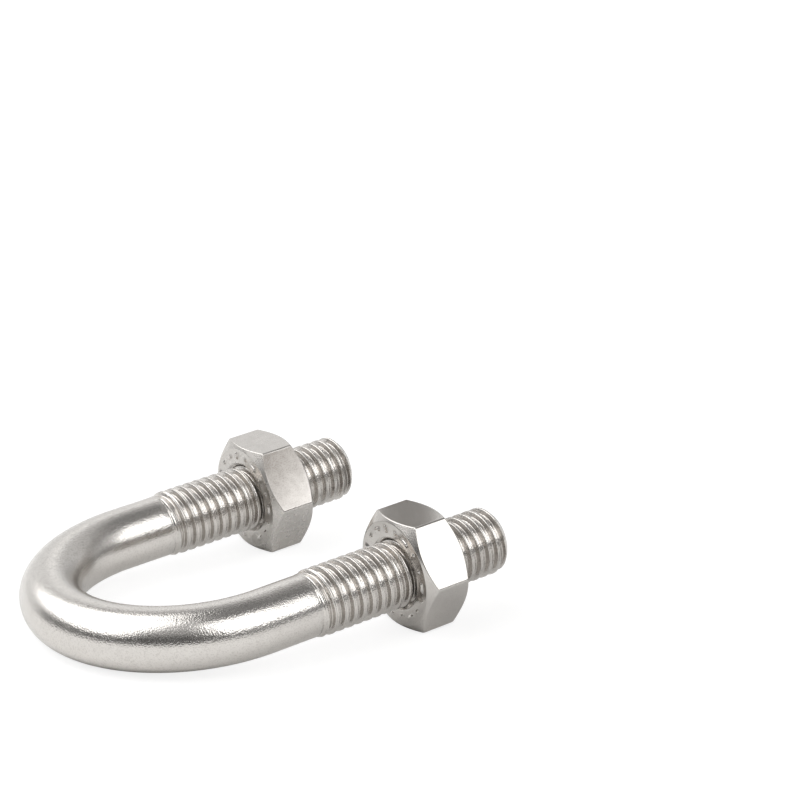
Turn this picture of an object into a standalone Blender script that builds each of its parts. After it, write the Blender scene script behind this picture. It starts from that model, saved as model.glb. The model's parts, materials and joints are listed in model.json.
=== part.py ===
"""A rolled-thread M8 U-bolt with its two hexagon nuts, lying on a flat surface.

Units are metres and +Z is up. In the bolt's own frame the legs run along +X, the bend is at -X and
both legs lie in the plane z = 0. The bolt as a whole is tipped about Y, because its nuts are wider
than its rod: it rests on the bottom of the bend and on one flat of each nut.
"""

import math

import bmesh
import bpy
from mathutils import Matrix, Vector

MM = 0.001

# the rod
SHANK_RADIUS = 3.65 * MM
BEND_RADIUS = 15.75 * MM
LEG_LENGTH = 31.25 * MM
END_CHAMFER = 0.7 * MM
ROD_SIDES = 16
BEND_STEPS = 20

# the rolled thread, a little larger across its crests than the rod
PITCH = 1.25 * MM
CREST_RADIUS = 3.92 * MM
ROOT_RADIUS = 3.32 * MM
THREAD_START = 5.3 * MM
SHOULDER_LENGTH = 0.5 * MM
FLANK_ANGLE = math.radians(30)
ROOT_FLAT = 0.2 * MM
RUN_OUT_TURNS = 0.75
THREAD_STEPS = 16

# the nuts: how far each one's near face is from the bend's centre, and its chamfers
NUT_WIDTH = 13.0 * MM
NUT_HEIGHT = 5.8 * MM
NUT_PLACE = 17.6 * MM
NUT_FACE_RADIUS = 0.95 * NUT_WIDTH / 2
CORNER_DROP = 0.9 * MM
BORE_CLEARANCE = 0.36 * MM
BORE_CHAMFER = 0.4 * MM
NUT_SIDES = 48
BORE_SIDES = 24

# how far a cutter reaches past what it cuts
OVERSHOOT = 1.0 * MM
MERGE_DISTANCE = 0.001 * MM

PART_COLLECTION = "u_bolt"
CUTTER_COLLECTION = "cutters"
STEEL_GREY = (0.62, 0.61, 0.59, 1.0)
NUT_GREY = (0.56, 0.55, 0.54, 1.0)

# turns local +Z, the axis of every turned piece, to the direction of the legs
ALONG_THE_LEG = (0.0, math.pi / 2, 0.0)


def clear_scene():
    """Remove every object and every collection that the file holds."""
    for old_object in list(bpy.data.objects):
        bpy.data.objects.remove(old_object, do_unlink=True)
    for old_collection in list(bpy.data.collections):
        bpy.data.collections.remove(old_collection)


def make_collection(name):
    """Add a collection to the scene."""
    collection = bpy.data.collections.new(name)
    bpy.context.scene.collection.children.link(collection)
    return collection


def make_steel(name, colour, roughness):
    """Plain stainless steel."""
    material = bpy.data.materials.new(name)
    material.use_nodes = True
    shader = material.node_tree.nodes["Principled BSDF"]
    shader.inputs["Base Color"].default_value = colour
    shader.inputs["Metallic"].default_value = 1.0
    shader.inputs["Roughness"].default_value = roughness
    return material


def add_piece(name, data, collection, parent, location=(0.0, 0.0, 0.0), turn=(0.0, 0.0, 0.0)):
    """Make an object, in a collection and placed under a parent."""
    piece = bpy.data.objects.new(name, data)
    collection.objects.link(piece)
    piece.parent = parent
    piece.location = location
    piece.rotation_euler = turn
    return piece


def mark_as_cutter(piece):
    """Keep a cutter out of the finished part."""
    piece.hide_render = True
    piece.display_type = "WIRE"
    return piece


def add_boolean(piece, operation, cutter):
    """Cut or trim one object by another."""
    boolean = piece.modifiers.new(cutter.name, "BOOLEAN")
    boolean.operation = operation
    boolean.solver = "EXACT"
    boolean.object = cutter


def add_screw(piece, steps, turns, rise):
    """Turn an object's profile about its Z axis, climbing by the rise in each turn."""
    screw = piece.modifiers.new("turn", "SCREW")
    screw.axis = "Z"
    screw.steps = steps
    screw.render_steps = steps
    screw.iterations = turns
    screw.screw_offset = rise
    screw.use_merge_vertices = rise == 0.0
    screw.merge_threshold = MERGE_DISTANCE


def profile_mesh(name, outline, closed):
    """A wire of (radius, height) corners in the XZ plane, for a Screw modifier to turn."""
    mesh = bpy.data.meshes.new(name)
    wire = bmesh.new()
    corners = [wire.verts.new((radius, 0.0, height)) for radius, height in outline]
    for first, second in zip(corners, corners[1:]):
        wire.edges.new((first, second))
    if closed:
        wire.edges.new((corners[-1], corners[0]))
    wire.to_mesh(mesh)
    wire.free()
    return mesh


def evaluated_mesh(piece, name):
    """A copy of an object's mesh as its modifiers or its curve leave it, in its own frame."""
    bpy.context.view_layer.update()
    evaluated = piece.evaluated_get(bpy.context.evaluated_depsgraph_get())
    mesh = bpy.data.meshes.new_from_object(evaluated)
    mesh.name = name
    return mesh


def rod_stations():
    """Distances along a leg, from its end to the bend, each with the rod's radius there."""
    return [
        (LEG_LENGTH, CREST_RADIUS - END_CHAMFER),
        (LEG_LENGTH - END_CHAMFER, CREST_RADIUS),
        (THREAD_START + SHOULDER_LENGTH, CREST_RADIUS),
        (THREAD_START, SHANK_RADIUS),
        (0.0, SHANK_RADIUS),
    ]


def rod_centre_line():
    """Points and radii from the end of one leg, round the bend, to the end of the other."""
    leg = rod_stations()
    line = [(Vector((along, -BEND_RADIUS, 0.0)), radius) for along, radius in leg]
    for step in range(1, BEND_STEPS):
        angle = math.pi * step / BEND_STEPS
        point = Vector((-math.sin(angle), -math.cos(angle), 0.0)) * BEND_RADIUS
        line.append((point, SHANK_RADIUS))
    line += [(Vector((along, BEND_RADIUS, 0.0)), radius) for along, radius in reversed(leg)]
    return line


def rod_mesh(collection):
    """The bent rod with its crest-size ends, swept as a curve and closed by its end caps."""
    curve = bpy.data.curves.new("rod_curve", "CURVE")
    curve.dimensions = "3D"
    curve.bevel_depth = SHANK_RADIUS
    curve.bevel_resolution = ROD_SIDES // 2 - 2
    curve.use_fill_caps = True
    line = rod_centre_line()
    spline = curve.splines.new("POLY")
    spline.points.add(len(line) - 1)
    for spline_point, (position, radius) in zip(spline.points, line):
        spline_point.co = (*position, 1.0)
        spline_point.radius = radius / SHANK_RADIUS
    guide = add_piece("rod_curve", curve, collection, None)
    mesh = evaluated_mesh(guide, "rod")
    bpy.data.objects.remove(guide)
    bpy.data.curves.remove(curve)
    shell = bmesh.new()
    shell.from_mesh(mesh)
    bmesh.ops.remove_doubles(shell, verts=shell.verts, dist=MERGE_DISTANCE)
    bmesh.ops.recalc_face_normals(shell, faces=shell.faces)
    shell.to_mesh(mesh)
    shell.free()
    return mesh


def groove_outline():
    """The section of the thread's groove: narrow at the root and open past the crest."""
    outer = CREST_RADIUS + BORE_CLEARANCE / 2
    root_half = ROOT_FLAT / 2
    outer_half = root_half + (outer - ROOT_RADIUS) * math.tan(FLANK_ANGLE)
    return [
        (outer, outer_half),
        (outer, -outer_half),
        (ROOT_RADIUS, -root_half),
        (ROOT_RADIUS, root_half),
    ]


def groove_mesh(collection):
    """The helical groove of one leg, from its first turn to past the leg's end.

    Over its first part turn it climbs out of the metal, as a rolled thread's run-out does.
    """
    turns = math.ceil((LEG_LENGTH + OVERSHOOT - THREAD_START) / PITCH)
    wire = profile_mesh("groove_profile", groove_outline(), closed=True)
    guide = add_piece("groove_guide", wire, collection, None)
    add_screw(guide, THREAD_STEPS, turns, PITCH)
    mesh = evaluated_mesh(guide, "groove")
    bpy.data.objects.remove(guide)
    shell = bmesh.new()
    shell.from_mesh(mesh)
    bmesh.ops.holes_fill(shell, edges=shell.edges)
    bmesh.ops.recalc_face_normals(shell, faces=shell.faces)
    run_out = PITCH * RUN_OUT_TURNS
    depth = CREST_RADIUS - ROOT_RADIUS
    for corner in shell.verts:
        radius = math.hypot(corner.co.x, corner.co.y)
        share = max(0.0, 1.0 - max(0.0, corner.co.z) / run_out)
        stretch = (radius + depth * share) / radius
        corner.co.x *= stretch
        corner.co.y *= stretch
    shell.to_mesh(mesh)
    shell.free()
    return mesh


def make_rod(part, cutters, frame):
    """The rod: one bent bar with a thread cut on each leg."""
    rod = add_piece("threaded_u_rod", rod_mesh(cutters), part, frame)
    groove = groove_mesh(cutters)
    for side, across in (("left", BEND_RADIUS), ("right", -BEND_RADIUS)):
        place = (THREAD_START + SHOULDER_LENGTH, across, 0.0)
        cutter = add_piece(f"{side}_thread_cutter", groove, cutters, frame, place, ALONG_THE_LEG)
        add_boolean(rod, "DIFFERENCE", mark_as_cutter(cutter))
    return rod


def corner_radius():
    """The distance from a nut's axis to its corners."""
    return NUT_WIDTH / math.sqrt(3)


def chamfer_slope():
    """How far the nut's chamfer cone drops for each unit that it grows."""
    return CORNER_DROP / (corner_radius() - NUT_FACE_RADIUS)


def nut_envelope():
    """The outline of the turned solid that chamfers both ends of a nut, top to bottom."""
    outer = corner_radius() + OVERSHOOT
    drop = chamfer_slope() * (outer - NUT_FACE_RADIUS)
    return [
        (0.0, NUT_HEIGHT),
        (NUT_FACE_RADIUS, NUT_HEIGHT),
        (outer, NUT_HEIGHT - drop),
        (outer, drop),
        (NUT_FACE_RADIUS, 0.0),
        (0.0, 0.0),
    ]


def bore_outline():
    """The outline of the cutter for a nut's hole and its two countersinks, top to bottom."""
    bore = CREST_RADIUS + BORE_CLEARANCE
    wide = bore + BORE_CHAMFER + OVERSHOOT
    return [
        (0.0, NUT_HEIGHT + OVERSHOOT),
        (wide, NUT_HEIGHT + OVERSHOOT),
        (bore, NUT_HEIGHT - BORE_CHAMFER),
        (bore, BORE_CHAMFER),
        (wide, -OVERSHOOT),
        (0.0, -OVERSHOOT),
    ]


def hexagon_mesh():
    """A six-sided prism of the nut's width and height, standing on z = 0."""
    mesh = bpy.data.meshes.new("hexagon")
    prism = bmesh.new()
    bmesh.ops.create_cone(
        prism,
        cap_ends=True,
        segments=6,
        radius1=corner_radius(),
        radius2=corner_radius(),
        depth=NUT_HEIGHT,
        matrix=Matrix.Translation((0.0, 0.0, NUT_HEIGHT / 2)),
    )
    prism.to_mesh(mesh)
    prism.free()
    return mesh


def make_nut(name, across, part, cutters, frame):
    """A hexagon nut on one leg, with its origin on the leg's axis at the face next to the bend."""
    place = (NUT_PLACE, across, 0.0)
    nut = add_piece(name, hexagon_mesh(), part, frame, place, ALONG_THE_LEG)
    outlines = {"chamfer": nut_envelope(), "bore": bore_outline()}
    sides = {"chamfer": NUT_SIDES, "bore": BORE_SIDES}
    operations = {"chamfer": "INTERSECT", "bore": "DIFFERENCE"}
    for cut, outline in outlines.items():
        wire = profile_mesh(f"{name}_{cut}", outline, closed=False)
        cutter = add_piece(f"{name}_{cut}", wire, cutters, frame, place, ALONG_THE_LEG)
        add_screw(cutter, sides[cut], 1, 0.0)
        add_boolean(nut, operations[cut], mark_as_cutter(cutter))
    return nut


def resting_tilt():
    """The angle at which the bend and both nuts touch the floor together.

    Each nut touches where its chamfer gives way to the flat, a little behind its near face.
    """
    flat_start = chamfer_slope() * (NUT_WIDTH / 2 - NUT_FACE_RADIUS)
    span = BEND_RADIUS + NUT_PLACE + flat_start
    return math.acos(SHANK_RADIUS / math.hypot(span, NUT_WIDTH / 2)) - math.atan2(span, NUT_WIDTH / 2)


def stand_on_origin(frame, pieces):
    """Move the frame so that the part stands on z = 0 with its box centred over the origin."""
    bpy.context.view_layer.update()
    graph = bpy.context.evaluated_depsgraph_get()
    corners = []
    for piece in pieces:
        evaluated = piece.evaluated_get(graph)
        corners += [evaluated.matrix_world @ corner.co for corner in evaluated.data.vertices]
    low = Vector([min(corner[axis] for corner in corners) for axis in range(3)])
    high = Vector([max(corner[axis] for corner in corners) for axis in range(3)])
    frame.location -= Vector(((low.x + high.x) / 2, (low.y + high.y) / 2, low.z))


def main():
    """Build the rod and the nuts."""
    clear_scene()
    part = make_collection(PART_COLLECTION)
    cutters = make_collection(CUTTER_COLLECTION)
    frame = add_piece("bolt_frame", None, part, None)
    frame.rotation_euler = (0.0, -resting_tilt(), 0.0)
    rod = make_rod(part, cutters, frame)
    nuts = [
        make_nut("left_nut", BEND_RADIUS, part, cutters, frame),
        make_nut("right_nut", -BEND_RADIUS, part, cutters, frame),
    ]
    rod.data.materials.append(make_steel("rod_steel", STEEL_GREY, 0.32))
    for nut in nuts:
        nut.data.materials.append(make_steel(f"{nut.name}_steel", NUT_GREY, 0.36))
    rod.data.shade_smooth()
    rod.data.set_sharp_from_angle(angle=math.radians(35))
    stand_on_origin(frame, [rod, *nuts])


if __name__ == "__main__":
    main()
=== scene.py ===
import json
import math

import bmesh
import bpy
from bpy.props import FloatProperty, FloatVectorProperty, IntProperty, PointerProperty
from mathutils import Matrix, Vector
from mathutils.noise import noise as noise_value


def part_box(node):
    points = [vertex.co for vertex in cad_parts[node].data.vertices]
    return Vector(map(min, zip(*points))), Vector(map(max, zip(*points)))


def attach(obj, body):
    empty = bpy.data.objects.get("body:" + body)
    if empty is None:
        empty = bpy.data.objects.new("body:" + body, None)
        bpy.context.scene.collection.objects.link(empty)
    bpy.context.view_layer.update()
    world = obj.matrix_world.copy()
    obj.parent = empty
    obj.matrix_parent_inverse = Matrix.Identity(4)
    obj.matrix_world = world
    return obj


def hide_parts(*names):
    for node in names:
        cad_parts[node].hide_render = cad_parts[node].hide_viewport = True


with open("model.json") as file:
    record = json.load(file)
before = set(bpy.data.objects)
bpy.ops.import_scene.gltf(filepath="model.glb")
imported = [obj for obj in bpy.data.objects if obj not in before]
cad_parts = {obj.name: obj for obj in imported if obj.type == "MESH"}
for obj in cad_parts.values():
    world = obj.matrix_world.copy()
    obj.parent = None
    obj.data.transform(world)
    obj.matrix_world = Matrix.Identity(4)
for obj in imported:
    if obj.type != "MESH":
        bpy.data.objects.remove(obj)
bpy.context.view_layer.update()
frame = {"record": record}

bl_info = {
    "name": "U-bolt with hex nuts",
    "version": (1, 0, 0),
    "blender": (4, 5, 0),
    "location": "3D View > Sidebar > U-Bolt",
    "description": "A stainless U-bolt with rolled threads and its two hex nuts, on a plain studio floor",
    "category": "Add Mesh",
}

MM = 0.001
FULL_TURN = 2 * math.pi

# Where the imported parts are: the leg axis, the sideways axis from the right leg to the left one, and
# the axis square to the bend.
MOUNTS = {mount["name"]: mount for mount in frame["record"]["mounts"]}
LEG_AXIS = Vector(MOUNTS["left_leg_end"]["axis"]).normalized()
SIDE_AXIS = Vector((0.0, 1.0, 0.0))
FACE_AXIS = LEG_AXIS.cross(SIDE_AXIS)
LEG_SIDES = {"left": 1, "right": -1}


def mount_point(name):
    """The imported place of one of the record's mounts."""
    return Vector(MOUNTS[name]["pos_m"])


LEG_ENDS_MIDDLE = (mount_point("left_leg_end") + mount_point("right_leg_end")) / 2
LEG_OFFSET = (mount_point("left_leg_end") - mount_point("right_leg_end")).length / 2
NUT_THICKNESS = (mount_point("left_nut_back") - mount_point("left_nut_seat")).dot(LEG_AXIS)
NUT_BACK_FROM_END = (mount_point("left_leg_end") - mount_point("left_nut_back")).dot(LEG_AXIS)
NUT_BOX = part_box("left_nut")
NUT_ACROSS_FLATS = (NUT_BOX[1][1] - NUT_BOX[0][1]) * math.cos(math.pi / 6)


# ---------------------------------------------------------------------------------------------
# Sizes and finishes that a user may change
# ---------------------------------------------------------------------------------------------

def length_property(name, description, default):
    """A size in metres, shown in the scene's own length unit."""
    return FloatProperty(name=name, description=description, default=default, unit="LENGTH",
                         precision=5, min=0.0)


def colour_property(name, description, default):
    """A linear colour."""
    return FloatVectorProperty(name=name, description=description, default=default,
                               subtype="COLOR", size=3, min=0.0, max=1.0)


def factor_property(name, description, default, top=1.0):
    """A plain factor from zero up."""
    return FloatProperty(name=name, description=description, default=default, subtype="FACTOR",
                         min=0.0, max=top)


class RodSizes(bpy.types.PropertyGroup):
    """The bent bar and the ends of its legs."""

    shank_radius: length_property(
        "Shank radius", "Radius of the plain bar", 3.65 * MM)
    leg_length: length_property(
        "Leg length", "From the middle of the bend's half circle to the end of a leg", 31.25 * MM)
    thread_start: length_property(
        "Thread start", "From the middle of the bend's half circle to the first turn", 5.3 * MM)
    end_chamfer: length_property(
        "End chamfer", "Radius taken off the thread at the end of a leg", 0.62 * MM)
    end_dish: length_property(
        "End dish", "Depth of the hollow that rolling leaves in the end face", 0.12 * MM)
    sides: IntProperty(
        name="Sides", description="Facets round the bar", default=72, min=12)
    bend_steps: IntProperty(
        name="Bend steps", description="Rings along the half circle", default=72, min=8)


class ThreadSizes(bpy.types.PropertyGroup):
    """The rolled thread, on both legs and in both nuts."""

    pitch: length_property("Pitch", "Distance from one turn to the next", 1.25 * MM)
    crest_radius: length_property("Crest radius", "Radius at the top of the thread", 3.92 * MM)
    root_radius: length_property("Root radius", "Radius at the bottom of the thread", 3.30 * MM)
    crest_breadth: factor_property(
        "Crest breadth", "Share of the pitch that the rolled crest takes up", 0.22)
    root_breadth: factor_property(
        "Root breadth", "Share of the pitch that the flat root takes up", 0.34)
    seam_depth: length_property(
        "Seam depth", "Depth of the seam between the two lips of a rolled crest", 0.045 * MM)
    groove_run_out: FloatProperty(
        name="Groove run-out", description="Turns over which the groove reaches its depth",
        default=1.6, min=0.1)
    crest_run_out: FloatProperty(
        name="Crest run-out", description="Turns over which the lips rise out of the shank",
        default=1.1, min=0.1)
    seam_run_out: FloatProperty(
        name="Seam run-out", description="Turns over which the two lips grow together",
        default=4.5, min=0.1)
    rows: IntProperty(
        name="Rows", description="Rows of faces to one turn", default=20, min=6)


class NutSizes(bpy.types.PropertyGroup):
    """Sizes of the nuts, the same for both."""

    across_flats: length_property("Across flats", "Width over two flats", NUT_ACROSS_FLATS)
    thickness: length_property("Thickness", "From the seat face to the back face", NUT_THICKNESS)
    face_radius: length_property("Face radius", "Radius of the flat ring on each face", 6.175 * MM)
    corner_drop: length_property("Corner drop", "How far the chamfer falls at a corner", 0.9 * MM)
    corner_radius: length_property("Corner radius", "Rounding of the six upright edges", 0.35 * MM)
    edge_radius: length_property("Edge radius", "Rounding along the chamfers", 0.14 * MM)
    mouth_radius: length_property("Mouth radius", "Radius of the countersunk mouth", 4.36 * MM)
    thread_play: length_property("Thread play", "Gap between the nut's thread and the rod's", 0.04 * MM)
    mark_radius: length_property("Mark radius", "Radius of the ring of raised marks", 5.3 * MM)
    mark_height: length_property("Mark height", "Height of the raised marks", 0.2 * MM)
    sides: IntProperty(
        name="Sides", description="Facets round the bore; the outside has twice as many",
        default=120, min=24)


class MetalFinish(bpy.types.PropertyGroup):
    """Colours, roughness and grain of the steel."""

    rod_colour: colour_property("Rod colour", "Bright steel of the rod", (0.67, 0.645, 0.615))
    nut_colour: colour_property("Nut colour", "Bright steel of the nuts", (0.575, 0.553, 0.527))
    # The darker colour serves for stain in pores, patches and scuffs, and for painted shade in the thread
    # roots and the nut bores.
    stain_colour: colour_property("Stain colour", "Steel in the roots and pores", (0.30, 0.27, 0.245))
    rod_roughness: factor_property("Rod roughness", "Roughness of the plain bar", 0.16)
    left_nut_roughness: factor_property("Left nut roughness", "Roughness of the left nut", 0.26)
    right_nut_roughness: factor_property("Right nut roughness", "Roughness of the right nut", 0.17)
    grain_depth: length_property("Grain depth", "Height of the rod's fine grain", 0.028 * MM)
    nut_grain_depth: length_property("Nut grain depth", "Height of the nuts' fine grain", 0.007 * MM)


class StageLook(bpy.types.PropertyGroup):
    """The floor, the light and the camera."""

    floor_colour: colour_property("Floor colour", "Paper under the bolt", (0.93, 0.93, 0.925))
    floor_radius: length_property("Floor radius", "Radius of the floor disc", 3.0)
    window_strength: FloatProperty(
        name="Window strength", description="Brightness of the two big soft lights",
        default=2.2, min=0.0)
    room_strength: FloatProperty(
        name="Room strength", description="Brightness of the walls and ceiling", default=1.0, min=0.0)
    camera_place: FloatVectorProperty(
        name="Camera place", description="Where the camera stands", size=3, unit="LENGTH",
        default=(-0.15529, -0.25316, 0.12101))
    camera_aim: FloatVectorProperty(
        name="Camera aim", description="The point on the floor that the camera looks at", size=3,
        unit="LENGTH", default=(0.06048, 0.0521, 0.0))
    camera_roll: FloatProperty(
        name="Camera roll", description="Turn of the camera about its own axis",
        default=math.radians(-0.51), unit="ROTATION")
    camera_lens: FloatProperty(
        name="Camera lens", description="Focal length in millimetres, on a 36 mm sensor",
        default=123.82, min=1.0)


# ---------------------------------------------------------------------------------------------
# Mesh building
# ---------------------------------------------------------------------------------------------

class Sheet:
    """Corners shared by name, and the faces between them."""

    def __init__(self):
        self.places = []
        self.grooves = []
        self.edges = []
        self.scuffs = []
        self.faces = []
        self.index = {}

    def corner(self, key, place, groove=0.0, edge=0.0, scuff=0.0):
        """Adds a corner under a name, once, and returns the name."""
        if key not in self.index:
            self.index[key] = len(self.places)
            self.places.append(place)
            self.grooves.append(groove)
            self.edges.append(edge)
            self.scuffs.append(scuff)
        return key

    def face(self, *keys):
        """Adds a face, leaving out corners that fall together."""
        distinct = list(dict.fromkeys(self.index[key] for key in keys))
        if len(distinct) > 2:
            self.faces.append(distinct)

    def bridge(self, first, second):
        """Joins two closed rings of as many corners."""
        for step in range(len(first)):
            after = (step + 1) % len(first)
            self.face(first[step], first[after], second[after], second[step])

    def bridge_doubled(self, coarse, fine):
        """Joins a closed ring to one with twice as many corners."""
        for step in range(len(coarse)):
            after = (step + 1) % len(coarse)
            here, middle, there = 2 * step, 2 * step + 1, (2 * step + 2) % len(fine)
            self.face(coarse[step], fine[here], fine[middle])
            self.face(coarse[step], fine[middle], coarse[after])
            self.face(coarse[after], fine[middle], fine[there])

    def object(self, name):
        """Makes one smooth object of the corners and faces, with outward normals."""
        mesh = bpy.data.meshes.new(name)
        mesh.from_pydata(self.places, [], self.faces)
        for label, values in (
                ("groove", self.grooves), ("edge", self.edges), ("scuff", self.scuffs)):
            attribute = mesh.attributes.new(label, "FLOAT", "POINT")
            attribute.data.foreach_set("value", values)
        shell = bmesh.new()
        shell.from_mesh(mesh)
        bmesh.ops.recalc_face_normals(shell, faces=shell.faces)
        open_edges = [edge for edge in shell.edges if not edge.is_manifold]
        shell.to_mesh(mesh)
        shell.free()
        if open_edges:
            raise RuntimeError(f"{name}: {len(open_edges)} edges are open")
        mesh.shade_smooth()
        made = bpy.data.objects.new(name, mesh)
        bpy.context.scene.collection.objects.link(made)
        return made


def smooth_step(value):
    """Eases from 0 to 1."""
    value = min(1.0, max(0.0, value))
    return value * value * (3 - 2 * value)


def blend(first, second, share):
    """The value a share of the way from the first to the second."""
    return first + (second - first) * share


GROOVE_RUN_OUT_POWER = 0.6
SEAM_SHARE_AT_START = 0.6
SEAM_UNEVENNESS = 0.5
SEAM_WAVES_PER_TURN = 0.8


class Bolt:
    """Turns places along and round a leg into places in the scene, and knows the thread's form."""

    def __init__(self, rod, thread):
        self.rod = rod
        self.thread = thread
        self.bend_centre = LEG_ENDS_MIDDLE - LEG_AXIS * rod.leg_length

    def place(self, along, across, above):
        """A place from its distances along the legs, to the left, and above the bend's plane."""
        return self.bend_centre + LEG_AXIS * along + SIDE_AXIS * across + FACE_AXIS * above

    def round_leg(self, side, along, radius, angle):
        """A place round one leg; the angle turns from the left towards the upper side."""
        across = LEG_SIDES[side] * LEG_OFFSET + radius * math.cos(angle)
        return self.place(along, across, radius * math.sin(angle))

    def turns(self, along, angle):
        """How many turns of the right-hand thread have passed; a whole number is on a crest."""
        return (along - self.rod.thread_start) / self.thread.pitch - angle / FULL_TURN

    def from_crest(self, along, angle):
        """How far a place is from the crest's middle, as a share of the way to the root's middle."""
        turns = self.turns(along, angle)
        return 2 * abs(turns - round(turns))

    def groove_share(self, along, angle):
        """How deep in the thread's groove a place is: 0 over the crest's breadth and 1 in the root."""
        flank = 1 - self.thread.crest_breadth - self.thread.root_breadth
        return smooth_step((self.from_crest(along, angle) - self.thread.crest_breadth) / flank)

    def seam_share(self, along, angle):
        """How deep in the seam between the two lips of a crest a place is, uneven round the helix."""
        from_seam = self.from_crest(along, angle) / self.thread.crest_breadth
        if from_seam >= 1:
            return 0.0
        place = Vector((SEAM_WAVES_PER_TURN * along / self.thread.pitch, angle, 0.5))
        return (1 + SEAM_UNEVENNESS * noise_value(place)) * (1 - from_seam ** 2) ** 2


def lay_thread(sheet, bolt, side, first, last, sides, radius_at, key):
    """Lays helical rows of faces round a leg, from one plain ring to another, and returns both rings.

    radius_at(along, angle) gives the radius and the groove value there."""
    rows, pitch, start = bolt.thread.rows, bolt.thread.pitch, bolt.rod.thread_start
    rings = []
    for name, along in (("first", first), ("last", last)):
        ring = []
        for column in range(sides):
            angle = FULL_TURN * column / sides
            radius, groove = radius_at(along, angle)
            place = bolt.round_leg(side, along, radius, angle)
            ring.append(sheet.corner((key, name, column), place, groove))
        rings.append(ring)

    def corner(row, column):
        if column == sides:
            row, column = row + rows, 0
        along = start + (row / rows + column / sides) * pitch
        if along <= first:
            return rings[0][column]
        if along >= last:
            return rings[1][column]
        name = (key, row, column)
        if name not in sheet.index:
            angle = FULL_TURN * column / sides
            radius, groove = radius_at(along, angle)
            sheet.corner(name, bolt.round_leg(side, along, radius, angle), groove)
        return name

    first_row = math.floor(((first - start) / pitch - 1) * rows)
    last_row = math.ceil((last - start) / pitch * rows)
    for row in range(first_row, last_row):
        for column in range(sides):
            sheet.face(corner(row, column), corner(row, column + 1),
                       corner(row + 1, column + 1), corner(row + 1, column))
    return rings


# ---------------------------------------------------------------------------------------------
# The rod
# ---------------------------------------------------------------------------------------------

def rod_thread_radius(bolt):
    """The radius and groove value on a leg: run-out, full thread and end chamfer."""
    rod, thread = bolt.rod, bolt.thread

    def radius_at(along, angle):
        turns = (along - rod.thread_start) / thread.pitch
        cut = smooth_step(turns / thread.groove_run_out) ** GROOVE_RUN_OUT_POWER
        risen = smooth_step(turns / thread.crest_run_out) * (thread.crest_radius - rod.shank_radius)
        seam = blend(SEAM_SHARE_AT_START * risen, thread.seam_depth,
                     smooth_step(turns / thread.seam_run_out))
        groove = cut * bolt.groove_share(along, angle)
        radius = (rod.shank_radius + risen - groove * (thread.crest_radius - thread.root_radius)
                  - seam * bolt.seam_share(along, angle))
        chamfered = thread.crest_radius - rod.end_chamfer + (rod.leg_length - along)
        return min(radius, chamfered), groove

    return radius_at


END_RINGS = (0.96, 0.84, 0.64, 0.42, 0.2)
END_DISH_SPREAD = 1.4
STRAIGHT_STEPS = 8


def close_leg_end(sheet, bolt, side, ring):
    """Closes a leg with a dished end face."""
    sides = len(ring)
    rim = bolt.thread.crest_radius - bolt.rod.end_chamfer
    for share in END_RINGS:
        along = bolt.rod.leg_length - bolt.rod.end_dish * smooth_step((1 - share) * END_DISH_SPREAD)
        inner = [
            sheet.corner((side, "end", share, column),
                         bolt.round_leg(side, along, rim * share, FULL_TURN * column / sides))
            for column in range(sides)
        ]
        sheet.bridge(ring, inner)
        ring = inner
    middle = sheet.corner(
        (side, "end", "middle"), bolt.round_leg(side, bolt.rod.leg_length - bolt.rod.end_dish, 0, 0))
    for column in range(sides):
        sheet.face(ring[column], ring[(column + 1) % sides], middle)


def shank_stations(bolt):
    """Middle and outward direction of each ring from the left leg, round the bend, to the right leg."""
    start = bolt.rod.thread_start
    for step in range(1, STRAIGHT_STEPS):
        yield bolt.place(start * (1 - step / STRAIGHT_STEPS), LEG_OFFSET, 0), SIDE_AXIS
    for step in range(bolt.rod.bend_steps + 1):
        turn = math.pi * step / bolt.rod.bend_steps
        outward = SIDE_AXIS * math.cos(turn) - LEG_AXIS * math.sin(turn)
        yield bolt.bend_centre + outward * LEG_OFFSET, outward
    for step in range(1, STRAIGHT_STEPS):
        yield bolt.place(start * step / STRAIGHT_STEPS, -LEG_OFFSET, 0), -SIDE_AXIS


def build_rod(bolt):
    """The bent rod: two threaded legs and the plain shank between them, in one closed surface."""
    rod = bolt.rod
    sheet = Sheet()
    radius_at = rod_thread_radius(bolt)
    starts = {}
    for side in LEG_SIDES:
        starts[side], end = lay_thread(
            sheet, bolt, side, rod.thread_start, rod.leg_length, rod.sides, radius_at, side)
        close_leg_end(sheet, bolt, side, end)
    ring = starts["left"]
    for number, (middle, outward) in enumerate(shank_stations(bolt)):
        after = []
        for column in range(rod.sides):
            angle = FULL_TURN * column / rod.sides
            place = middle + (outward * math.cos(angle) + FACE_AXIS * math.sin(angle)) * rod.shank_radius
            after.append(sheet.corner(("shank", number, column), place))
        sheet.bridge(ring, after)
        ring = after
    half = rod.sides // 2
    mirrored = [starts["right"][(half - column) % rod.sides] for column in range(rod.sides)]
    sheet.bridge(ring, mirrored)
    return sheet.object("rod_surface")


# ---------------------------------------------------------------------------------------------
# The nuts
# ---------------------------------------------------------------------------------------------

SIXTH = math.pi / 3
CORNER_STEPS = 4
FILLET_STEPS = 3
FILLET_SUPPORT = 0.05 * MM
RIM_FROM_FACE_EDGE = 0.18 * MM
CORNER_SUPPORT = 1.35
SEAT_FACE_ROWS = 17
BACK_FACE_ROWS = 6
FACE_LEVELS = 4
ARC_LEVELS = FILLET_STEPS + 1
SHADED_MOUTH_GROOVE = 0.4
MARKS_IN_RING = 18
MARK_KINDS = 3
LONG_MARK_HALF = 0.32 * MM
SHORT_MARK_HALF = 0.2 * MM
MARK_EDGE = 0.29 * MM
MARK_EDGE_SOFTNESS = 0.15 * MM
BLASTED_SIDE = "left"
BLASTED_FLAT_ANGLE = 5 * SIXTH / 2
BLASTED_BREADTH = 0.96
SCUFF_AT_SEAT = 0.8
SCUFF_LOST_TO_BACK = 0.4
SCUFF_LOST_ACROSS = 0.7


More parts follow.
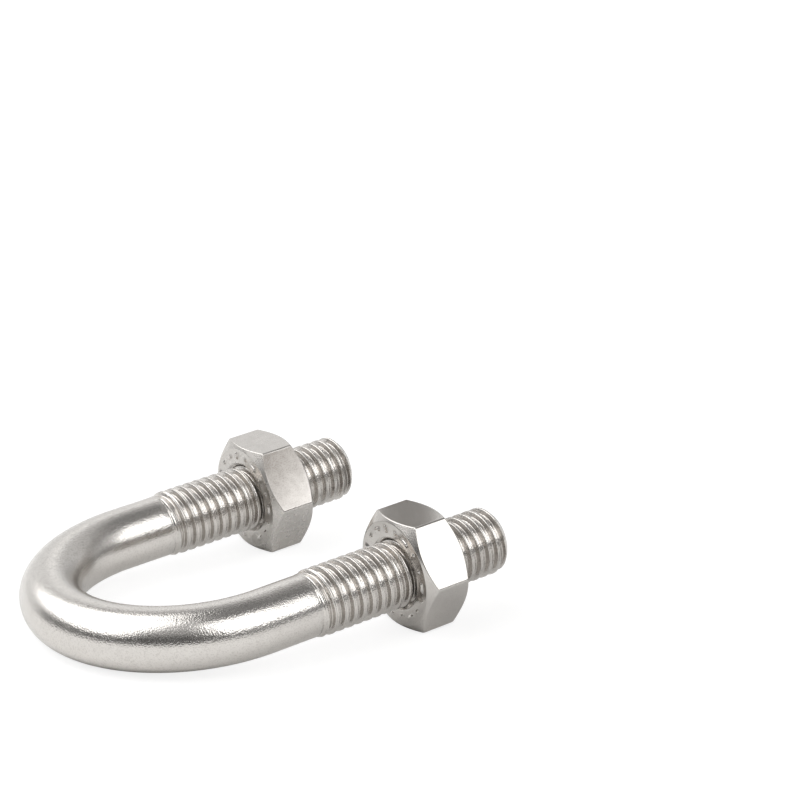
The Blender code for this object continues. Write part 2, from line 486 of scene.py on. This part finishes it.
def corner_reach(sizes):
    """The angle from a corner's middle to where its rounding meets the flat."""
    along_flat = sizes.corner_radius * math.tan(SIXTH / 2)
    half_flat = sizes.across_flats / 2 * math.tan(SIXTH / 2)
    return SIXTH / 2 - math.atan((half_flat - along_flat) / (sizes.across_flats / 2))


def outer_radius(sizes, from_corner):
    """The radius of the rounded hexagon at an angle from its nearest corner."""
    from_corner = abs(from_corner)
    if from_corner > corner_reach(sizes):
        return sizes.across_flats / 2 / math.cos(SIXTH / 2 - from_corner)
    middle = (sizes.across_flats / 2 - sizes.corner_radius) / math.cos(SIXTH / 2)
    reach = sizes.corner_radius ** 2 - (middle * math.sin(from_corner)) ** 2
    return middle * math.cos(from_corner) + math.sqrt(reach)


def column_angle(sizes, step, half_steps):
    """The angle from a corner of an outside column, close together where the corner is rounded."""
    reach = corner_reach(sizes)
    if abs(step) <= CORNER_STEPS:
        return reach * step / CORNER_STEPS
    held = reach * CORNER_SUPPORT
    share = (abs(step) - CORNER_STEPS - 1) / (half_steps - CORNER_STEPS - 1)
    return math.copysign(blend(held, SIXTH / 2, share), step)


def outside_columns(sizes):
    """For each outside column: its even angle, its hexagon angle, and the hexagon angle from a corner."""
    columns = 2 * sizes.sides
    in_sixth = columns // 6
    for column in range(columns):
        corner = round(column / in_sixth)
        step = column - corner * in_sixth
        from_corner = column_angle(sizes, step, in_sixth // 2)
        yield FULL_TURN * column / columns, corner * SIXTH + from_corner, from_corner


def rounded_profile(points, radius):
    """Rounds the inner points of a radius and height profile; each gives its place and its edge value."""
    profile = [(points[0], 0.0)]
    for before, point, after in zip(points, points[1:], points[2:]):
        back = (before - point).normalized()
        ahead = (after - point).normalized()
        half_angle = back.angle(ahead) / 2
        reach = radius / math.tan(half_angle)
        centre = point + (back + ahead).normalized() * radius / math.sin(half_angle)
        profile.append((point + back * (reach + FILLET_SUPPORT), 0.0))
        start = point + back * reach - centre
        end = point + ahead * reach - centre
        for step in range(FILLET_STEPS + 1):
            share = step / FILLET_STEPS
            spoke = (start * (1 - share) + end * share).normalized() * radius
            profile.append((centre + spoke, 1.0))
        profile.append((point + ahead * (reach + FILLET_SUPPORT), 0.0))
    profile.append((points[-1], 0.0))
    return profile


def outside_profile(sizes, from_corner):
    """The radius and height profile of one outside column, from the seat's rim to the back's rim."""
    reach = outer_radius(sizes, from_corner)
    corner = sizes.across_flats / 2 / math.cos(SIXTH / 2)
    drop = sizes.corner_drop * (reach - sizes.face_radius) / (corner - sizes.face_radius)
    rim = sizes.face_radius - RIM_FROM_FACE_EDGE
    return rounded_profile(
        [
            Vector((rim, 0.0)),
            Vector((sizes.face_radius, 0.0)),
            Vector((reach, drop)),
            Vector((reach, sizes.thickness - drop)),
            Vector((sizes.face_radius, sizes.thickness)),
            Vector((rim, sizes.thickness)),
        ],
        sizes.edge_radius,
    )


def mark_relief(sizes, radius, angle):
    """The height of the raised marks on the seat: plain short bars and dots in a ring."""
    slot = angle / FULL_TURN * MARKS_IN_RING
    number = round(slot)
    sideways = (slot - number) * FULL_TURN / MARKS_IN_RING * radius
    outward = radius - sizes.mark_radius
    kind = number % MARKS_IN_RING % MARK_KINDS
    if kind == 0:
        beyond = math.hypot(max(0.0, abs(sideways) - LONG_MARK_HALF), outward)
    elif kind == 1:
        beyond = math.hypot(sideways, max(0.0, abs(outward) - SHORT_MARK_HALF))
    else:
        beyond = math.hypot(sideways, outward)
    return sizes.mark_height * smooth_step((MARK_EDGE - beyond) / MARK_EDGE_SOFTNESS)


def flat_scuff(side, level, levels, height, angle):
    """How blasted a place on the outside is, most by the seat and the top.

    Only the left nut's flat that faces up and towards the other leg is blasted. The height runs from
    0 at the seat to 1 at the back."""
    facing = (angle - BLASTED_FLAT_ANGLE + math.pi) % FULL_TURN - math.pi
    on_flat = levels // 2 - ARC_LEVELS - 1 <= level <= levels // 2 + ARC_LEVELS
    if side != BLASTED_SIDE or not on_flat or abs(facing) >= BLASTED_BREADTH * SIXTH / 2:
        return 0.0
    return max(0.0, SCUFF_AT_SEAT - SCUFF_LOST_TO_BACK * height - SCUFF_LOST_ACROSS * facing / SIXTH)


def build_nut(bolt, sizes, side):
    """One hex nut: threaded bore, countersunk mouths, chamfered faces and rounded corners."""
    sheet = Sheet()
    back = bolt.rod.leg_length - NUT_BACK_FROM_END
    seat = back - sizes.thickness

    def bore_radius(along, angle):
        share = bolt.groove_share(along, angle)
        threaded = blend(bolt.thread.crest_radius, bolt.thread.root_radius, share) + sizes.thread_play
        countersunk = sizes.mouth_radius - min(along - seat, back - along)
        # The threaded bore takes the full groove value and the countersunk mouth a lesser one, which
        # darken them with stain and painted shade.
        return max(threaded, countersunk), 1.0 if threaded > countersunk else SHADED_MOUTH_GROOVE

    mouths = lay_thread(sheet, bolt, side, seat, back, sizes.sides, bore_radius, side)
    columns = list(outside_columns(sizes))
    rim = sizes.face_radius - RIM_FROM_FACE_EDGE

    profiles = [outside_profile(sizes, from_corner) for _, _, from_corner in columns]
    levels = len(profiles[0])
    rounded = corner_reach(sizes)
    rings = []
    for level in range(levels):
        ring = []
        for number, (_, angle, from_corner) in enumerate(columns):
            (radius, height), edge = profiles[number][level]
            if abs(from_corner) <= rounded and FACE_LEVELS <= level < levels - FACE_LEVELS:
                edge = 1.0
            place = bolt.round_leg(side, seat + height, radius, angle)
            scuff = flat_scuff(side, level, levels, height / sizes.thickness, angle)
            ring.append(sheet.corner((side, "outside", level, number), place, 0.0, edge, scuff))
        rings.append(ring)
    for lower, upper in zip(rings, rings[1:]):
        sheet.bridge(lower, upper)

    for name, along, mouth, edge_ring, face_rows in (
            ("seat", seat, mouths[0], rings[0], SEAT_FACE_ROWS),
            ("back", back, mouths[1], rings[-1], BACK_FACE_ROWS)):
        before = None
        for row in range(1, face_rows):
            share = row / face_rows
            radius = blend(sizes.mouth_radius, rim, share)
            ring = []
            for number, (even, angle, _) in enumerate(columns):
                there = blend(even, angle, smooth_step(share))
                lift = mark_relief(sizes, radius, there) if name == "seat" else 0.0
                place = bolt.round_leg(side, along - lift, radius, there)
                ring.append(sheet.corner((side, name, row, number), place, 0.0,
                                         lift / sizes.mark_height))
            if before is None:
                sheet.bridge_doubled(mouth, ring)
            else:
                sheet.bridge(before, ring)
            before = ring
        sheet.bridge(before, edge_ring)
    return sheet.object(f"{side}_nut_surface")


# ---------------------------------------------------------------------------------------------
# Materials
# ---------------------------------------------------------------------------------------------

def feed(tree, socket, value):
    """Links one socket to another, or sets it to a plain value."""
    if isinstance(value, bpy.types.NodeSocket):
        tree.links.new(value, socket)
    else:
        socket.default_value = value


def calculate(tree, operation, *values):
    """A Math node's result."""
    node = tree.nodes.new("ShaderNodeMath")
    node.operation = operation
    for socket, value in zip(node.inputs, values):
        feed(tree, socket, value)
    return node.outputs["Value"]


def remap(tree, value, low, high, bottom=0.0, top=1.0):
    """A smooth Map Range of a value."""
    node = tree.nodes.new("ShaderNodeMapRange")
    node.interpolation_type = "SMOOTHSTEP"
    for name, number in (("Value", value), ("From Min", low), ("From Max", high),
                         ("To Min", bottom), ("To Max", top)):
        feed(tree, node.inputs[name], number)
    return node.outputs["Result"]


def mix_colours(tree, share, first, second):
    """A colour between two others."""
    node = tree.nodes.new("ShaderNodeMix")
    node.data_type = "RGBA"
    feed(tree, node.inputs["Factor"], share)
    sockets = {socket.identifier: socket for socket in (*node.inputs, *node.outputs)}
    feed(tree, sockets["A_Color"], first)
    feed(tree, sockets["B_Color"], second)
    return sockets["Result_Color"]


def noise(tree, vector, scale, detail, roughness=0.5):
    """A noise texture's value."""
    node = tree.nodes.new("ShaderNodeTexNoise")
    for name, value in (("Vector", vector), ("Scale", scale), ("Detail", detail),
                        ("Roughness", roughness)):
        feed(tree, node.inputs[name], value)
    return node.outputs["Fac"]


def new_group(name, inputs, outputs):
    """An empty shader node group with named sockets, and its input and output nodes."""
    tree = bpy.data.node_groups.new(name, "ShaderNodeTree")
    for label, kind, default in inputs:
        socket = tree.interface.new_socket(name=label, in_out="INPUT", socket_type=f"NodeSocket{kind}")
        socket.default_value = default
    for label, kind in outputs:
        tree.interface.new_socket(name=label, in_out="OUTPUT", socket_type=f"NodeSocket{kind}")
    return tree, tree.nodes.new("NodeGroupInput").outputs, tree.nodes.new("NodeGroupOutput").inputs


NOISE_RANGE = (0.3, 0.7)
PORE_RANGE = (0.42, 0.05)
ROOT_RANGE = (0.45, 1.0)
SPECKLE_RANGE = (0.9, 0.1)
LEAST_SPECKLE = 0.8
PORE_STAIN = 0.22
PATCH_STAIN = 0.06
# Root darkening is partly stain and partly painted shade.
ROOT_STAIN = 0.22
BLASTED_STAIN = 0.62
EDGE_STAIN_SPARED = 0.12
ROOT_ROUGHNESS = 0.15
BLASTED_ROUGHNESS = 0.30
EDGE_ROUGHNESS = -0.03


def grain_group():
    """Fine grain and slow unevenness of pickled steel: two masks and one height."""
    tree, given, result = new_group(
        "steel_grain",
        [("Grain Scale", "Float", 5200.0), ("Mottle Scale", "Float", 1100.0),
         ("Mottle Depth", "Float", 0.5), ("Wave Scale", "Float", 110.0), ("Wave Depth", "Float", 2.0)],
        [("Grain", "Float"), ("Mottle", "Float"), ("Height", "Float")],
    )
    place = tree.nodes.new("ShaderNodeTexCoord").outputs["Object"]
    grain = noise(tree, place, given["Grain Scale"], 1.5, 0.5)
    mottle = noise(tree, place, given["Mottle Scale"], 2.0, 0.5)
    wave = noise(tree, place, given["Wave Scale"], 1.0)
    feed(tree, result["Grain"], remap(tree, grain, *NOISE_RANGE))
    feed(tree, result["Mottle"], remap(tree, mottle, *NOISE_RANGE))
    height = calculate(tree, "MULTIPLY_ADD", mottle, given["Mottle Depth"], grain)
    height = calculate(tree, "MULTIPLY_ADD", wave, given["Wave Depth"], height)
    feed(tree, result["Height"], height)
    return tree


def wear_group():
    """Steel colour and roughness over grooves, edges, grain and blasted places; the grooves darken with
    stain and painted shade.
    """
    tree, given, result = new_group(
        "steel_wear",
        [("Steel", "Color", (0.6, 0.6, 0.6, 1.0)), ("Stain", "Color", (0.3, 0.3, 0.3, 1.0)),
         ("Grain", "Float", 0.5), ("Mottle", "Float", 0.5),
         ("Groove", "Float", 0.0), ("Edge", "Float", 0.0), ("Scuff", "Float", 0.0),
         ("Polish", "Float", 0.2), ("Spread", "Float", 0.06)],
        [("Color", "Color"), ("Roughness", "Float")],
    )
    pores = calculate(tree, "MULTIPLY", remap(tree, given["Grain"], *PORE_RANGE), PORE_STAIN)
    patches = calculate(tree, "MULTIPLY", given["Mottle"], PATCH_STAIN)
    # Darkening in the thread roots and the nut bores, from the groove value: partly stain, partly painted
    # shade.
    roots = calculate(tree, "MULTIPLY", remap(tree, given["Groove"], *ROOT_RANGE), ROOT_STAIN)
    speckle = remap(tree, given["Grain"], *SPECKLE_RANGE, LEAST_SPECKLE, 1.0)
    blasted = calculate(tree, "MULTIPLY", given["Scuff"], speckle)
    # Pores, patches and blasted places are stain; the roots add painted shade.
    dull = calculate(tree, "ADD", calculate(tree, "ADD", pores, patches), roots)
    dull = calculate(tree, "MULTIPLY_ADD", blasted, BLASTED_STAIN, dull)
    spared = calculate(tree, "MULTIPLY", given["Edge"], EDGE_STAIN_SPARED)
    share = calculate(tree, "MAXIMUM", calculate(tree, "SUBTRACT", dull, spared), 0.0)
    feed(tree, result["Color"], mix_colours(tree, share, given["Steel"], given["Stain"]))
    rough = calculate(tree, "MULTIPLY_ADD", given["Mottle"], given["Spread"], given["Polish"])
    rough = calculate(tree, "MULTIPLY_ADD", roots, ROOT_ROUGHNESS, rough)
    rough = calculate(tree, "MULTIPLY_ADD", given["Scuff"], BLASTED_ROUGHNESS, rough)
    feed(tree, result["Roughness"],
         calculate(tree, "MULTIPLY_ADD", given["Edge"], EDGE_ROUGHNESS, rough))
    return tree


def built_group(name, builder):
    """A node group, built the first time that it is asked for."""
    return bpy.data.node_groups.get(name) or builder()


def place_group(tree, group, **values):
    """Puts a group into a material; underscores in the names stand for spaces."""
    node = tree.nodes.new("ShaderNodeGroup")
    node.node_tree = group
    for name, value in values.items():
        feed(tree, node.inputs[name.replace("_", " ")], value)
    return node.outputs


def opaque(colour):
    """A colour property's value with full alpha."""
    return (*colour, 1.0)


def attribute_value(tree, name):
    """A point attribute of the mesh."""
    node = tree.nodes.new("ShaderNodeAttribute")
    node.attribute_name = name
    return node.outputs["Fac"]


def steel_material(name, finish, colour, roughness, depth, grain_scale, mottle_depth, wave_depth):
    """Pickled stainless steel, with its grain, its thread roots darkened by stain and painted shade, and
    its brighter edges.

    depth is the grain's height, and the last three set the grain's size and its slower unevenness."""
    material = bpy.data.materials.new(name)
    material.use_nodes = True
    tree = material.node_tree
    shader = tree.nodes["Principled BSDF"]
    shader.inputs["Metallic"].default_value = 1.0
    grain = place_group(tree, built_group("steel_grain", grain_group),
                        Grain_Scale=grain_scale, Mottle_Depth=mottle_depth, Wave_Depth=wave_depth)
    wear = place_group(
        tree, built_group("steel_wear", wear_group), Steel=opaque(colour),
        Stain=opaque(finish.stain_colour), Grain=grain["Grain"], Mottle=grain["Mottle"],
        Groove=attribute_value(tree, "groove"), Edge=attribute_value(tree, "edge"),
        Scuff=attribute_value(tree, "scuff"), Polish=roughness)
    feed(tree, shader.inputs["Base Color"], wear["Color"])
    feed(tree, shader.inputs["Roughness"], wear["Roughness"])
    bump = tree.nodes.new("ShaderNodeBump")
    bump.inputs["Distance"].default_value = depth
    feed(tree, bump.inputs["Height"], grain["Height"])
    feed(tree, shader.inputs["Normal"], bump.outputs["Normal"])
    return material


# ---------------------------------------------------------------------------------------------
# The stage
# ---------------------------------------------------------------------------------------------

# Colour of the painted shade on the paper past the right leg's end.
SHADED_PAPER = (0.74, 0.735, 0.73)
SHADE_START = 0.015
SHADE_END = 0.06
SHADE_SHARE = 0.85
PAPER_UNEVENNESS = 0.05
GLOW_STRENGTH = 1.15
GLOW_SHARE = 0.7


def floor_material(colour):
    """Matt white paper with a faint unevenness, and painted shade that greys it past the right leg's end.

    Seen directly it glows, so that it reads as near white."""
    material = bpy.data.materials.new("studio_floor")
    material.use_nodes = True
    tree = material.node_tree
    shader = tree.nodes["Principled BSDF"]
    shader.inputs["Roughness"].default_value = 1.0
    shader.inputs["Specular IOR Level"].default_value = 0.0
    place = tree.nodes.new("ShaderNodeTexCoord").outputs["Object"]
    apart = tree.nodes.new("ShaderNodeSeparateXYZ")
    feed(tree, apart.inputs["Vector"], place)
    away = calculate(tree, "SUBTRACT", apart.outputs["X"], apart.outputs["Y"])
    # Painted shade: the paper greys past the right leg's end, and the steel shows it in its reflections.
    falloff = remap(tree, away, SHADE_START, SHADE_END, 0.0, SHADE_SHARE)
    unevenness = noise(tree, place, scale=2.0, detail=2.0)
    shade = calculate(tree, "MULTIPLY_ADD", unevenness, PAPER_UNEVENNESS, falloff)
    feed(tree, shader.inputs["Base Color"],
         mix_colours(tree, shade, opaque(colour), opaque(SHADED_PAPER)))
    glow = tree.nodes.new("ShaderNodeEmission")
    glow.inputs["Strength"].default_value = GLOW_STRENGTH
    seen = tree.nodes.new("ShaderNodeLightPath").outputs["Is Camera Ray"]
    mixed = tree.nodes.new("ShaderNodeMixShader")
    feed(tree, mixed.inputs["Fac"], calculate(tree, "MULTIPLY", seen, GLOW_SHARE))
    tree.links.new(shader.outputs["BSDF"], mixed.inputs[1])
    tree.links.new(glow.outputs["Emission"], mixed.inputs[2])
    tree.links.new(mixed.outputs["Shader"], tree.nodes["Material Output"].inputs["Surface"])
    return material


def build_floor(look):
    """A wide flat disc under the bolt."""
    mesh = bpy.data.meshes.new("floor")
    disc = bmesh.new()
    bmesh.ops.create_circle(disc, cap_ends=True, segments=96, radius=look.floor_radius)
    disc.to_mesh(mesh)
    disc.free()
    floor = bpy.data.objects.new("floor", mesh)
    bpy.context.scene.collection.objects.link(floor)
    mesh.materials.append(floor_material(look.floor_colour))


# Name, middle, radius and height of each post.
POSTS = (
    ("upright_flag", (29.0 * MM, 9.9 * MM), 3.9 * MM, 85.0 * MM),
    ("low_flag", (35.5 * MM, -24.5 * MM), 6.8 * MM, 12.0 * MM),
)
DARK_GREY = (0.27, 0.26, 0.25)
PALE_GREY = (0.58, 0.57, 0.56)


def build_posts():
    """Two small grey posts beside the bolt, which show only as reflections in the steel."""
    material = bpy.data.materials.new("grey_post")
    material.use_nodes = True
    tree = material.node_tree
    shader = tree.nodes["Principled BSDF"]
    shader.inputs["Roughness"].default_value = 0.9
    place = tree.nodes.new("ShaderNodeTexCoord").outputs["Object"]
    patchiness = noise(tree, place, scale=300.0, detail=2.0)
    feed(tree, shader.inputs["Base Color"],
         mix_colours(tree, patchiness, opaque(DARK_GREY), opaque(PALE_GREY)))
    for name, middle, radius, height in POSTS:
        mesh = bpy.data.meshes.new(name)
        cylinder = bmesh.new()
        bmesh.ops.create_cone(cylinder, cap_ends=True, segments=32, radius1=radius, radius2=radius,
                              depth=height, matrix=Matrix.Translation((*middle, height / 2)))
        cylinder.to_mesh(mesh)
        cylinder.free()
        mesh.materials.append(material)
        post = bpy.data.objects.new(name, mesh)
        bpy.context.scene.collection.objects.link(post)
        post.visible_camera = False
        post.visible_shadow = False
        post.visible_diffuse = False


def panel_group():
    """A soft-edged patch of the room, by direction in degrees.

    Flare widens it and Lean turns it sideways for each degree above its centre."""
    tree, given, result = new_group(
        "soft_panel",
        [("Azimuth", "Float", 0.0), ("Elevation", "Float", 0.0),
         ("Centre Azimuth", "Float", 0.0), ("Half Width", "Float", 30.0),
         ("Centre Elevation", "Float", 45.0), ("Half Height", "Float", 20.0),
         ("Flare", "Float", 0.0), ("Lean", "Float", 0.0),
         ("Side Softness", "Float", 4.0), ("Softness", "Float", 4.0)],
        [("Mask", "Float")],
    )
    above = calculate(tree, "SUBTRACT", given["Elevation"], given["Centre Elevation"])
    middle = calculate(tree, "MULTIPLY_ADD", above, given["Lean"], given["Centre Azimuth"])
    apart = calculate(tree, "SUBTRACT", given["Azimuth"], middle)
    apart = calculate(tree, "ABSOLUTE", calculate(tree, "WRAP", apart, 180.0, -180.0))
    half_width = calculate(tree, "MULTIPLY_ADD", above, given["Flare"], given["Half Width"])
    above = calculate(tree, "ABSOLUTE", above)
    sides = remap(
        tree, apart,
        calculate(tree, "ADD", half_width, given["Side Softness"]),
        calculate(tree, "SUBTRACT", half_width, given["Side Softness"]))
    ends = remap(
        tree, above,
        calculate(tree, "ADD", given["Half Height"], given["Softness"]),
        calculate(tree, "SUBTRACT", given["Half Height"], given["Softness"]))
    feed(tree, result["Mask"], calculate(tree, "MULTIPLY", sides, ends))
    return tree


# Each patch of the room in degrees: the azimuth of its centre, its half width, the elevation of its
# centre, its half height, and the softness of its sides and of its ends.
FRONT_WINDOW = (-80.0, 31.5, 41.0, 23.0, 6.0, 3.0)
FRONT_WINDOW_FLARE = 0.15
FRONT_WINDOW_LEAN = -0.3
BACK_WINDOW = (143.0, 53.0, 50.0, 28.0, 5.0, 4.0)
BACK_WINDOW_FLARE = 0.36
FAR_WALL = (86.0, 35.0, 14.0, 26.0, 12.0, 8.0)
SIDE_WALL = (32.0, 36.0, 34.0, 23.0, 14.0, 10.0)
SIDE_WALL_LEAN = 0.8
FRONT_WALL = (-34.0, 14.0, 34.0, 16.0, 10.0, 7.0)
WINDOW_GAP = (-146.0, 20.0, 62.0, 24.0, 12.0, 12.0)
SKIRTING = (-138.0, 60.0, 17.0, 9.0, 25.0, 6.0)

BARE_ROOM_BRIGHTNESS = 0.25
FAR_WALL_BRIGHTNESS = 0.66
SIDE_WALL_BRIGHTNESS = 0.43
FRONT_WALL_BRIGHTNESS = 0.45
WINDOW_GAP_BRIGHTNESS = 0.32
SKIRTING_BRIGHTNESS = -0.13
BELOW_HORIZON_BRIGHTNESS = 0.6
HORIZON_SOFTNESS = 0.5


def light_room(look):
    """A pale room with two big soft windows, painted on the world by direction."""
    world = bpy.data.worlds.new("studio_room")
    bpy.context.scene.world = world
    world.use_nodes = True
    tree = world.node_tree
    direction = tree.nodes.new("ShaderNodeTexCoord").outputs["Generated"]
    split = tree.nodes.new("ShaderNodeSeparateXYZ")
    feed(tree, split.inputs["Vector"], direction)
    degrees = 180.0 / math.pi
    azimuth = calculate(tree, "ARCTAN2", split.outputs["Y"], split.outputs["X"])
    azimuth = calculate(tree, "MULTIPLY", azimuth, degrees)
    elevation = calculate(tree, "MULTIPLY", calculate(tree, "ARCSINE", split.outputs["Z"]), degrees)
    group = built_group("soft_panel", panel_group)

    def panel(patch, flare=0.0, lean=0.0):
        centre, half_width, height, half_height, side_softness, softness = patch
        return place_group(
            tree, group, Azimuth=azimuth, Elevation=elevation, Centre_Azimuth=centre,
            Half_Width=half_width, Centre_Elevation=height, Half_Height=half_height,
            Side_Softness=side_softness, Softness=softness, Flare=flare, Lean=lean)["Mask"]

    front_window = panel(FRONT_WINDOW, FRONT_WINDOW_FLARE, FRONT_WINDOW_LEAN)
    back_window = panel(BACK_WINDOW, BACK_WINDOW_FLARE)
    windows = calculate(tree, "MAXIMUM", front_window, back_window)
    room = BARE_ROOM_BRIGHTNESS
    for mask, brightness in (
            (panel(FAR_WALL), FAR_WALL_BRIGHTNESS),
            (panel(SIDE_WALL, lean=SIDE_WALL_LEAN), SIDE_WALL_BRIGHTNESS),
            (panel(FRONT_WALL), FRONT_WALL_BRIGHTNESS),
            (panel(WINDOW_GAP), WINDOW_GAP_BRIGHTNESS),
            (panel(SKIRTING), SKIRTING_BRIGHTNESS)):
        room = calculate(tree, "MULTIPLY_ADD", mask, brightness, room)
    room = calculate(tree, "MULTIPLY", room, look.room_strength)
    below = remap(tree, elevation, HORIZON_SOFTNESS, -HORIZON_SOFTNESS)
    room = calculate(tree, "MULTIPLY_ADD", below, BELOW_HORIZON_BRIGHTNESS, room)
    light = calculate(tree, "MULTIPLY_ADD", windows, look.window_strength, room)
    background = tree.nodes["Background"]
    background.inputs["Color"].default_value = (1.0, 1.0, 1.0, 1.0)
    feed(tree, background.inputs["Strength"], light)


SENSOR_WIDTH_MM = 36.0
NEAREST_SEEN = 0.01
FURTHEST_SEEN = 20.0


def place_camera(look):
    """A camera that looks down over the bend from the right leg's side."""
    data = bpy.data.cameras.new("camera")
    data.lens = look.camera_lens
    data.sensor_width = SENSOR_WIDTH_MM
    data.clip_start = NEAREST_SEEN
    data.clip_end = FURTHEST_SEEN
    camera = bpy.data.objects.new("camera", data)
    bpy.context.scene.collection.objects.link(camera)
    place = Vector(look.camera_place)
    back = (place - Vector(look.camera_aim)).normalized()
    right = Vector((0.0, 0.0, 1.0)).cross(back).normalized()
    upright = Matrix((right, back.cross(right), back)).transposed().to_4x4()
    roll = Matrix.Rotation(look.camera_roll, 4, "Z")
    camera.matrix_world = Matrix.Translation(place) @ upright @ roll
    bpy.context.scene.camera = camera


# ---------------------------------------------------------------------------------------------
# Operators and panel
# ---------------------------------------------------------------------------------------------

class UBOLT_OT_build_rod(bpy.types.Operator):
    """Build the bent rod with its two threaded legs"""

    bl_idname = "ubolt.build_rod"
    bl_label = "Build Rod"
    bl_options = {"REGISTER", "UNDO"}

    def execute(self, context):
        scene = context.scene
        finish = scene.ubolt_finish
        piece = build_rod(Bolt(scene.ubolt_rod, scene.ubolt_thread))
        piece.data.materials.append(
            steel_material("rod_steel_finish", finish, finish.rod_colour, finish.rod_roughness,
                           finish.grain_depth, grain_scale=5200.0, mottle_depth=0.15,
                           wave_depth=1.2))
        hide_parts("threaded_u_rod")
        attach(piece, "rod")
        return {"FINISHED"}


class UBOLT_OT_build_nuts(bpy.types.Operator):
    """Build a hex nut on each leg"""

    bl_idname = "ubolt.build_nuts"
    bl_label = "Build Nuts"
    bl_options = {"REGISTER", "UNDO"}

    def execute(self, context):
        scene = context.scene
        finish = scene.ubolt_finish
        bolt = Bolt(scene.ubolt_rod, scene.ubolt_thread)
        roughness = {"left": finish.left_nut_roughness, "right": finish.right_nut_roughness}
        for side in LEG_SIDES:
            piece = build_nut(bolt, scene.ubolt_nut, side)
            piece.data.materials.append(
                steel_material(f"{side}_nut_steel_finish", finish, finish.nut_colour,
                               roughness[side], finish.nut_grain_depth, grain_scale=7500.0,
                               mottle_depth=0.1, wave_depth=7.0))
            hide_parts(f"{side}_nut")
            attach(piece, f"{side}_nut")
        return {"FINISHED"}


class UBOLT_OT_set_stage(bpy.types.Operator):
    """Set the floor, the soft light and the camera"""

    bl_idname = "ubolt.set_stage"
    bl_label = "Set Stage"
    bl_options = {"REGISTER", "UNDO"}

    def execute(self, context):
        look = context.scene.ubolt_stage
        build_floor(look)
        build_posts()
        light_room(look)
        place_camera(look)
        context.scene.view_settings.view_transform = "Standard"
        return {"FINISHED"}


class UBOLT_PT_sidebar(bpy.types.Panel):
    """Sizes, finishes and the steps that build the bolt"""

    bl_idname = "UBOLT_PT_sidebar"
    bl_label = "U-Bolt"
    bl_space_type = "VIEW_3D"
    bl_region_type = "UI"
    bl_category = "U-Bolt"

    def draw(self, context):
        for title, name in PROPERTY_PLACES:
            box = self.layout.box()
            box.label(text=title)
            group = getattr(context.scene, name)
            for entry in group.bl_rna.properties:
                if entry.identifier not in {"rna_type", "name"}:
                    box.prop(group, entry.identifier)
        for step in STEPS:
            self.layout.operator(step.bl_idname)


PROPERTY_PLACES = (
    ("Rod", "ubolt_rod"),
    ("Thread", "ubolt_thread"),
    ("Nuts", "ubolt_nut"),
    ("Finish", "ubolt_finish"),
    ("Stage", "ubolt_stage"),
)
PROPERTY_GROUPS = (RodSizes, ThreadSizes, NutSizes, MetalFinish, StageLook)
STEPS = (UBOLT_OT_build_rod, UBOLT_OT_build_nuts, UBOLT_OT_set_stage)


def register():
    """Adds the classes, and one property group of each kind to the scene."""
    for group in (*PROPERTY_GROUPS, *STEPS, UBOLT_PT_sidebar):
        bpy.utils.register_class(group)
    for (_, name), group in zip(PROPERTY_PLACES, PROPERTY_GROUPS):
        setattr(bpy.types.Scene, name, PointerProperty(type=group))


def unregister():
    """Takes the property groups and the classes away again."""
    for _, name in PROPERTY_PLACES:
        delattr(bpy.types.Scene, name)
    for group in (UBOLT_PT_sidebar, *STEPS, *PROPERTY_GROUPS):
        bpy.utils.unregister_class(group)


def main():
    """Builds the bolt and its stage."""
    register()
    bpy.ops.ubolt.build_rod()
    bpy.ops.ubolt.build_nuts()
    bpy.ops.ubolt.set_stage()


if __name__ == "__main__":
    main()
